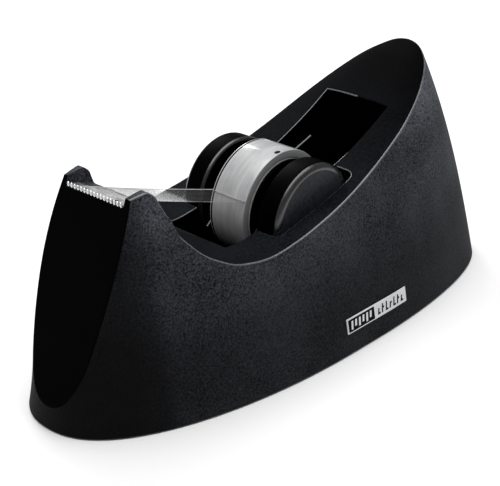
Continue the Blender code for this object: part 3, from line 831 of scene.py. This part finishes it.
def well_keep():
    """Solid kept round the well, the pockets and the bosses when the shell is hollowed."""
    well_x, well_half = (WELL_X[0] - WALL, WELL_X[1] + WALL), WELL_HALF + WALL
    keep = block('keep', well_x, (-well_half, well_half), (WELL_FLOOR - WALL, ABOVE))
    reach, half = POCKET_REACH + WALL, POCKET_OUTER + WALL
    pockets_z = (POCKET_FLOOR - WALL, ABOVE + 1.0)
    boolean(keep, block('keep_pockets', (AXIS_X - reach, AXIS_X + reach), (-half, half), pockets_z), 'UNION')
    for x, y in BOSSES:
        outline = arc(x, y, BOSS_RADIUS, 0.0, 350.0, 35)
        boolean(keep, prism('boss', outline, 'z', PLATE_TOP + GAP, ABOVE + 2.0), 'UNION')
    return keep


def platform_z(x):
    slope = (PLATFORM_BACK[1] - PLATFORM_FRONT[1]) / (PLATFORM_BACK[0] - PLATFORM_FRONT[0])
    return PLATFORM_FRONT[1] + slope * (x - PLATFORM_FRONT[0])


def make_body():
    """Hollow moulded body and the smooth panel let into its front."""
    cavity = plain_hull('cavity', WALL, TOP_WALL, -1.0, 60, 12, 6, 8)
    boolean(cavity, slab('facet_keep', -AHEAD, PANEL_THICK + GAP + WALL, 5.0, 70.0))
    platform_x0, platform_x1 = PLATFORM_CUT_X
    keep_z = (PLATFORM_BACK[1] - TOP_WALL, ABOVE)
    boolean(cavity, block('platform_keep', (-ABOVE, platform_x1), (-30.0, 30.0), keep_z))
    boolean(cavity, well_keep())
    # the hollow's faces take the near-black painted shade of the well
    for polygon in cavity.data.polygons:
        polygon.material_index = SLOT_WELL_SHADE

    shell = rounded_hull('moulded_shell', 150, 44, 22, 44, RIM_ROUND)
    boolean(shell, cavity)
    seat = slab('panel_seat', -AHEAD, PANEL_THICK + SEAM, PANEL_LOW_Z - SEAM, PANEL_TOP_Z + SEAM, SLOT_FACET)
    boolean(shell, seat)
    outline = ((platform_x0, platform_z(platform_x0)), (platform_x1, platform_z(platform_x1)),
               (platform_x1, ABOVE - 5.0), (platform_x0, ABOVE - 5.0))
    cut = prism('platform_cut', outline, 'y', -PLATFORM_HALF, PLATFORM_HALF, SLOT_WALL)
    bevel_edges(cut, lambda e: abs(e.verts[0].co.y - e.verts[1].co.y) < 1e-6
                and all(v.co.z < (ABOVE - 10.0) * MM for v in e.verts), PLATFORM_ROUND, 3)
    boolean(shell, cut)
    boolean(shell, well_cutter())
    boolean(shell, lip_ring('well_lip', well_outline(), LIP_ROUND))
    for x, y in BOSSES:
        boolean(shell, prism('boss_hole', arc(x, y, SCREW_HOLE_R, 0.0, 345.0, 23), 'z', 0.0, SCREW_DEPTH))
    dress(shell, BODY_MATERIALS)
    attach(shell, 'dispenser')
    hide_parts('body_shell')

    panel = rounded_hull('smooth_front_panel', 60, 60, 22, 30, RIM_ROUND)
    boolean(panel, slab('panel_body', -3.0, PANEL_THICK, PANEL_LOW_Z, PANEL_TOP_Z, SLOT_FACET), 'INTERSECT')
    dress(panel, BODY_MATERIALS)
    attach(panel, 'dispenser')
    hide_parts('front_panel')


# -------- hub, roll and free tape
HUB = (AXIS_X, 0.0, AXIS_Z)
PLUG_R = 12.4
COLLAR_R = 13.7
COLLAR_Y = (6.3, 7.2)
COLLAR_ROUND = 0.3
NECK_R = 9.5
NECK_FILLET = 0.4
KNOB_R = 15.4
KNOB_Y = (10.25, 17.3)
KNOB_ROUND = 1.9
KNOB_INNER_ROUND = 0.8
KNOB_DISH = ((9.0, 0.06), (4.0, 0.1), (0.0, 0.12))
PIN_BORE_R = 2.05
PIN_HALF = 15.0
HALF_GAP = 0.2
ROLL_IN_R = 14.0
ROLL_R = 16.14
ROLL_ROUND = 0.16
GROOVE_Y = (5.15, 5.2, 5.6, 5.65)
GROOVE_DEPTH = 0.2
TAPE_HALF = 6.0
STRIP_LEAVES_DEG = 157.1
STRIP_END_X = -62.4
STRIP_OVER_PLATFORM = 1.15
STRIP_SAG = 0.25
STRIP_THICK = 0.08
STRIP_CURL = ((-6.0, 0.16), (-5.86, 0.1), (-5.72, 0.06), (-4.0, 0.0), (-2.0, -0.02), (0.0, -0.03),
              (2.0, -0.02), (4.0, 0.0), (5.72, 0.06), (5.86, 0.1), (6.0, 0.16))
DOT_DEG = 94.0
DOT_Y = -4.9
DOT_RADII = (1.0, 0.7)


def rounded_corner(r, y, round_r, round_y, steps=4):
    """Quarter ellipse from (r, y - round_y) to (r - round_r, y); negative round_y turns it over."""
    points = []
    for k in range(steps + 1):
        a = 0.5 * math.pi * k / steps
        points.append((r - round_r + round_r * math.cos(a), y - round_y + round_y * math.sin(a)))
    return points


def make_hub():
    """Two turned halves: plug, collar, neck and a knob with a glossy rim and a shallow dish; the knob's side
    is painted dark as shade, its rim lighter as a painted highlight and its face lighter as painted light.
    """
    inner, outer = KNOB_Y
    outline = [(PIN_BORE_R, HALF_GAP), (PLUG_R, HALF_GAP), (PLUG_R, COLLAR_Y[0]), (COLLAR_R, COLLAR_Y[0])]
    outline += rounded_corner(COLLAR_R, COLLAR_Y[1], COLLAR_ROUND, COLLAR_ROUND)
    outline += [(NECK_R + NECK_FILLET, COLLAR_Y[1]), (NECK_R, COLLAR_Y[1] + NECK_FILLET),
                (NECK_R, inner - NECK_FILLET), (NECK_R + NECK_FILLET, inner)]
    inner_edge = len(outline)
    outline += rounded_corner(KNOB_R, inner, KNOB_INNER_ROUND, -KNOB_INNER_ROUND)[::-1]
    inner_edge = range(inner_edge, len(outline) - 1)
    rim_start = len(outline) + 3
    outline += rounded_corner(KNOB_R, outer, KNOB_ROUND, KNOB_ROUND, 12)
    rim_stop = len(outline) - 1
    outline += [(r, outer - dip) for r, dip in KNOB_DISH]
    outline += [(0.0, PIN_HALF + GAP), (PIN_BORE_R, PIN_HALF + GAP)]
    # rim faces take the painted highlight, the face the painted light, the rest the painted shade
    slots = [0 if i < rim_start else (1 if i < rim_stop else 2) for i in range(len(outline))]
    for name, side, node in (('hub_half_left', -1, 'hub_left'), ('hub_half_right', 1, 'hub_right')):
        # only the far knob's inner edge gets the painted highlight
        if side > 0:
            for i in inner_edge:
                slots[i] = 1
        hub = lathe(name, [(r, side * y) for r, y in outline], 128, HUB, slots)
        dress(hub, (KNOB_SIDE_PAINTED_SHADE, KNOB_RIM_PAINTED_HIGHLIGHT, KNOB_FACE_PAINTED_LIGHT), 40.0)
        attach(hub, 'hub')
        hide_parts(node)


def make_roll():
    """Wound tape with a groove near its far edge painted dark as shade, and one printed speck."""
    film = tape_material('tape_film', (0.38, 0.382, 0.388), (0.54, 0.542, 0.55), 1.0)
    side = winding_material('tape_layers', (0.16, 0.165, 0.17), (0.42, 0.43, 0.44))
    mark_and_groove_shade = plastic('roll_mark_and_groove_shade', dark=grey(0.002), light=grey(0.004), rough=(0.5, 0.6), grain=900.0,
                   speckle=0.4, depth=0.00002, specular=0.04)
    outline = [(ROLL_IN_R, -TAPE_HALF), (ROLL_R - ROLL_ROUND, -TAPE_HALF)]
    outline += rounded_corner(ROLL_R, -TAPE_HALF, ROLL_ROUND, -ROLL_ROUND)[::-1][1:]
    groove = len(outline)
    outline += list(zip((ROLL_R, ROLL_R - GROOVE_DEPTH, ROLL_R - GROOVE_DEPTH, ROLL_R), GROOVE_Y))
    outline += rounded_corner(ROLL_R, TAPE_HALF, ROLL_ROUND, ROLL_ROUND)
    outline += [(ROLL_IN_R, TAPE_HALF)]
    last = len(outline) - 2
    slots = [1 if i in (0, last, last + 1) else 0 for i in range(len(outline))]
    # the groove is painted near black as shade, with the speck's material
    slots[groove:groove + 3] = [2, 2, 2]
    roll = lathe('tape_windings', outline, 192, HUB, slots)
    dress(roll, (film, side, mark_and_groove_shade), 40.0)
    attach(roll, 'hub')
    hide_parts('tape_roll')

    bm = bmesh.new()
    r = ROLL_R + 0.02
    corners = 20
    ring = []
    for k in range(corners):
        a = 2 * math.pi * k / corners
        angle = math.radians(DOT_DEG) + DOT_RADII[0] * math.cos(a) / ROLL_R
        ring.append(vertex(bm, AXIS_X + r * math.cos(angle), DOT_Y + DOT_RADII[1] * math.sin(a),
                           AXIS_Z + r * math.sin(angle)))
    bm.faces.new(ring)
    dot = mesh_object('roll_speck', bm)
    dress(dot, (mark_and_groove_shade,))
    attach(dot, 'hub')


def make_strip():
    """Free end of the tape: thin film whose cut edges are painted bright as a highlight, from the roll to
    just over the platform.
    """
    film = tape_material('strip_film', grey(0.30), grey(0.42), 0.66, 0.1)
    # bright cut edges: painted highlight
    rim = tape_material('strip_edge_painted_highlight', grey(0.62), grey(0.85), 1.0)
    angle = math.radians(STRIP_LEAVES_DEG)
    reach = ROLL_R + 0.12
    leave = (AXIS_X + reach * math.cos(angle), AXIS_Z + reach * math.sin(angle))
    end = (STRIP_END_X, platform_z(STRIP_END_X) + STRIP_OVER_PLATFORM)
    steps = 60
    line = []
    for k in range(steps + 1):
        t = max(k - 1, 0.3 * k) / (steps - 1)
        x = leave[0] + (end[0] - leave[0]) * t
        z = leave[1] + (end[1] - leave[1]) * t
        line.append((x, z - STRIP_SAG * math.sin(math.pi * t)))
    bm = bmesh.new()
    layers = []
    for lift in (0.0, STRIP_THICK):
        layers.append([[vertex(bm, x, y, z + curl + lift) for y, curl in STRIP_CURL] for x, z in line])
    low, high = layers
    last = len(STRIP_CURL) - 1
    for grid in layers:
        for k, (a, b) in enumerate(zip(grid, grid[1:])):
            for j in range(last):
                slot = 1 if k == 0 or j in (0, last - 1) else 0
                face(bm, (a[j], b[j], b[j + 1], a[j + 1]), slot)
    for k in range(steps):
        for j in (0, last):
            face(bm, (low[k][j], low[k + 1][j], high[k + 1][j], high[k][j]), 1)
    for k in (0, steps):
        for j in range(last):
            face(bm, (low[k][j], low[k][j + 1], high[k][j + 1], high[k][j]), 1)
    strip = mesh_object('free_tape', bm)
    dress(strip, (film, rim), 50.0)
    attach(strip, 'hub_carrier')
    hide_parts('tape_strip')


# -------- cutter
BLADE_HALF = 9.9
BLADE_BACK_X = -57.1
BLADE_THICK = 0.45
TEETH = 17
TOOTH_X = -61.2
TOOTH_Z = 57.6
TOOTH_LONG = 0.66
TOOTH_WIDE = 0.32
TOOTH_DEEP = 0.28
TOOTH_LEAN = (-0.2, -0.4, -0.9)
TOOTH_SHIFT = -0.15


def tooth(bm, centre, around=12, along=10):
    """One rounded tooth: an ellipsoid that leans down and across."""
    lean = Vector(TOOTH_LEAN).normalized()
    across = lean.cross(Vector((1.0, 0.0, 0.0))).normalized()
    deep = lean.cross(across)
    rings = []
    for k in range(1, along):
        polar = math.pi * k / along
        ring = []
        for m in range(around):
            turn = 2 * math.pi * m / around
            point = (centre - lean * (TOOTH_LONG * math.cos(polar))
                     + across * (TOOTH_WIDE * math.sin(polar) * math.cos(turn))
                     + deep * (TOOTH_DEEP * math.sin(polar) * math.sin(turn)))
            ring.append(bm.verts.new(point * MM))
        rings.append(ring)
    for a, b in zip(rings, rings[1:]):
        for m in range(around):
            o = (m + 1) % around
            face(bm, (a[m], b[m], b[o], a[o]), 1)
    face(bm, rings[0], 1)
    face(bm, rings[-1][::-1], 1)


def make_blade():
    """Steel strip on the platform with a row of rounded teeth along its front edge."""
    steel = metal('blade_steel', (0.50, 0.50, 0.51), (0.66, 0.66, 0.67), (0.32, 0.42), (1.0, 0.3, 1.0))
    # teeth: a near-white copy of the blade steel, a painted glint
    bright = metal('tooth_steel_painted_glint', grey(0.90), grey(0.99), (0.4, 0.5), (0.3, 1.0, 1.0))
    pitch = 2.0 * BLADE_HALF / TEETH
    bm = bmesh.new()
    corners = []
    for x in (BLADE_BACK_X, TOOTH_X + 0.2):
        for lift in (GAP, GAP + BLADE_THICK):
            corners.append([vertex(bm, x, y, platform_z(x) + lift) for y in (-BLADE_HALF, BLADE_HALF)])
    back_low, back_high, front_low, front_high = corners
    loop = (back_low, back_high, front_high, front_low)
    for a, b in zip(loop, loop[1:] + loop[:1]):
        face(bm, (a[0], a[1], b[1], b[0]))
    for j in (0, 1):
        face(bm, [corner[j] for corner in loop])
    for n in range(TEETH):
        tooth(bm, Vector((TOOTH_X, -BLADE_HALF + pitch * (n + 0.5) + TOOTH_SHIFT, TOOTH_Z)))
    blade = mesh_object('serrated_cutter', bm)
    dress(blade, (steel, bright), 40.0)
    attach(blade, 'dispenser')
    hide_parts('cutter_blade')


# -------- label
LABEL_X = (-1.9, 24.3)
LABEL_Z = (6.4, 10.5)
LABEL_LIFT = (0.2, 0.5)
INK_LIFT = (0.51, 0.55)
OVER_INK_LIFT = (0.56, 0.59)
BLOCK_X = (0.4, 11.6)
BLOCK_BORDER = 0.32
BAR_COUNT = 6
BAR_START = 1.0
BAR_PITCH = 1.6
BAR_WIDE = 0.75
BAR_MARGIN = 0.55
MARK_COUNT = 7
MARK_START = 1.4
MARK_PITCH = 1.75
MARK_WIDE = 0.5
MARK_MARGIN = 0.8
FOOT_X = (0.55, 1.15)
FOOT_TALL = 0.5
FOOT_STEP = 1.2


def wall_patch(bm, x, z, lift, slot, lean=0.0):
    """Thin curved box on the near wall; lean slants its upright ends."""
    columns = max(1, math.ceil((x[1] - x[0]) / 1.5))
    grids = []
    for out in lift:
        grid = []
        for i in range(columns + 1):
            line = []
            for j, height in enumerate(z):
                px = x[0] + (x[1] - x[0]) * i / columns + lean * j
                _, y = wall_point(wall_turn(px, height), height)
                line.append(vertex(bm, px, -(y + out), height))
            grid.append(line)
        grids.append(grid)
    inner, outer = grids
    for grid in grids:
        for a, b in zip(grid, grid[1:]):
            face(bm, (a[0], b[0], b[1], a[1]), slot)
    for i in range(columns):
        for j in (0, 1):
            face(bm, (inner[i][j], inner[i + 1][j], outer[i + 1][j], outer[i][j]), slot)
    for i in (0, columns):
        face(bm, (inner[i][0], inner[i][1], outer[i][1], outer[i][0]), slot)


def make_label():
    """White plate with a dark block and plain marks; it says nothing."""
    white = plastic('label_white', dark=(0.62, 0.64, 0.65), light=(0.76, 0.78, 0.79), rough=(0.32, 0.42),
                    grain=1600.0, speckle=0.8, depth=0.00003, specular=0.3)
    ink = plastic('label_ink', dark=grey(0.001), light=grey(0.003), rough=(0.45, 0.55),
                  grain=1600.0, speckle=0.5, depth=0.00002, specular=0.03)
    bm = bmesh.new()
    left, low, high = LABEL_X[0], LABEL_Z[0], LABEL_Z[1]
    wall_patch(bm, LABEL_X, LABEL_Z, LABEL_LIFT, 0)
    block_x = (left + BLOCK_X[0], left + BLOCK_X[1])
    block_z = (low + BLOCK_BORDER, high - BLOCK_BORDER)
    wall_patch(bm, block_x, block_z, INK_LIFT, 1)
    for k in range(BAR_COUNT):
        x = block_x[0] + BAR_START + BAR_PITCH * k
        raised = BAR_MARGIN if k % 2 else 0.0
        bar_z = (block_z[0] + BAR_MARGIN + raised, block_z[1] - BAR_MARGIN)
        wall_patch(bm, (x, x + BAR_WIDE), bar_z, OVER_INK_LIFT, 0, 0.3)
    for k in range(MARK_COUNT):
        x = block_x[1] + MARK_START + MARK_PITCH * k
        mark_top = high - (MARK_MARGIN if k % 3 else 2 * MARK_MARGIN)
        wall_patch(bm, (x, x + MARK_WIDE), (low + MARK_MARGIN, mark_top), INK_LIFT, 1, 0.4)
        foot_low = low + MARK_MARGIN + (FOOT_STEP if k % 2 else 0.0)
        wall_patch(bm, (x + FOOT_X[0], x + FOOT_X[1]), (foot_low, foot_low + FOOT_TALL), INK_LIFT, 1, 0.1)
    label = mesh_object('plain_label', bm, 1e-9)
    dress(label, (white, ink), 40.0)
    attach(label, 'dispenser')
    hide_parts('label_plate')


# -------- underside and inside
def repaint(node, material):
    obj = NODES[node]
    obj.data.materials.clear()
    obj.data.materials.append(material)


def dress_cad_nodes():
    plate = plastic('plate_plastic', dark=(0.012, 0.012, 0.013), light=(0.03, 0.03, 0.032), rough=(0.6, 0.8),
                    grain=1400.0, speckle=1.2, depth=0.00012, specular=0.3)
    rubber = plastic('pad_rubber', dark=grey(0.01), light=(0.028, 0.027, 0.026), rough=(0.8, 0.95),
                     grain=1100.0, speckle=1.0, depth=0.00015, specular=0.2)
    card = plastic('core_card', dark=(0.55, 0.52, 0.46), light=(0.78, 0.75, 0.69), rough=(0.75, 0.9),
                   grain=1200.0, speckle=1.0, depth=0.0001, specular=0.2)
    iron = metal('ballast_iron', (0.10, 0.095, 0.09), (0.30, 0.285, 0.27), (0.5, 0.75), grey(1.0), 350.0)
    pin = metal('pin_steel', (0.50, 0.50, 0.52), (0.72, 0.72, 0.74), (0.2, 0.34), (1.0, 0.15, 1.0))
    screw = metal('screw_steel', (0.42, 0.42, 0.44), (0.66, 0.66, 0.68), (0.25, 0.4), (1.0, 1.0, 0.3))
    repaint('base_plate', plate)
    repaint('axle_pin', pin)
    repaint('tape_core', card)
    for number in range(1, 5):
        repaint('grip_pad_%d' % number, rubber)
        repaint('base_screw_%d' % number, screw)
    for place in ('front', 'floor', 'back'):
        repaint('ballast_%s' % place, iron)


# -------- floor, light, camera
def aim(obj, target):
    direction = Vector(target) - obj.location
    obj.rotation_euler = direction.to_track_quat('-Z', 'Y').to_euler()


def area_light(name, place, target, size, power):
    data = bpy.data.lights.new(name, 'AREA')
    data.shape = 'RECTANGLE'
    data.size, data.size_y = size
    data.energy = power
    light = bpy.data.objects.new(name, data)
    bpy.context.scene.collection.objects.link(light)
    light.location = place
    aim(light, target)


FLOOR_HALF = 4.0
WORLD_STRENGTH = 0.24
TOP_LIGHT = ((0.0, -0.02, 0.95), (0.0, -0.02, 0.0), (1.4, 1.1), 12.6)
BACK_LIGHT = ((0.25, 0.55, 0.40), (0.0, 0.0, 0.03), (0.35, 0.25), 2.0)
LENS = 101.73
SENSOR = 36.0
CAMERA_PLACE = (-0.26412, -0.23559, 0.19511)
CAMERA_TARGET = (0.00182, 0.00694, 0.01962)


def make_stage():
    """Pale floor, soft studio light and the camera."""
    bm = bmesh.new()
    corners = ((-1, -1), (1, -1), (1, 1), (-1, 1))
    bm.faces.new([bm.verts.new((x * FLOOR_HALF, y * FLOOR_HALF, 0.0)) for x, y in corners])
    floor = mesh_object('floor', bm)
    material, tree, shader, coords = new_material('pale_floor')
    colour = ramp(tree, noise(tree, coords, 3.0), ((0.3, grey(0.93)), (0.7, grey(0.95))))
    tree.links.new(colour, shader.inputs['Base Color'])
    shader.inputs['Roughness'].default_value = 0.9
    shader.inputs['Specular IOR Level'].default_value = 0.1
    floor.data.materials.append(material)

    world = bpy.data.worlds.new('studio')
    world.use_nodes = True
    background = world.node_tree.nodes['Background']
    background.inputs['Color'].default_value = (1.0, 1.0, 1.0, 1.0)
    background.inputs['Strength'].default_value = WORLD_STRENGTH
    bpy.context.scene.world = world
    bpy.context.scene.view_settings.view_transform = 'Standard'

    area_light('top_softbox', *TOP_LIGHT)
    area_light('back_softbox', *BACK_LIGHT)

    camera_data = bpy.data.cameras.new('camera')
    camera_data.lens = LENS
    camera_data.sensor_width = SENSOR
    camera_data.sensor_fit = 'HORIZONTAL'
    camera_data.clip_start = 0.01
    camera_data.clip_end = 30.0
    camera = bpy.data.objects.new('camera', camera_data)
    bpy.context.scene.collection.objects.link(camera)
    camera.location = CAMERA_PLACE
    aim(camera, CAMERA_TARGET)
    bpy.context.scene.camera = camera


make_stage()
make_body()
make_hub()
make_roll()
make_strip()
make_blade()
make_label()
dress_cad_nodes()
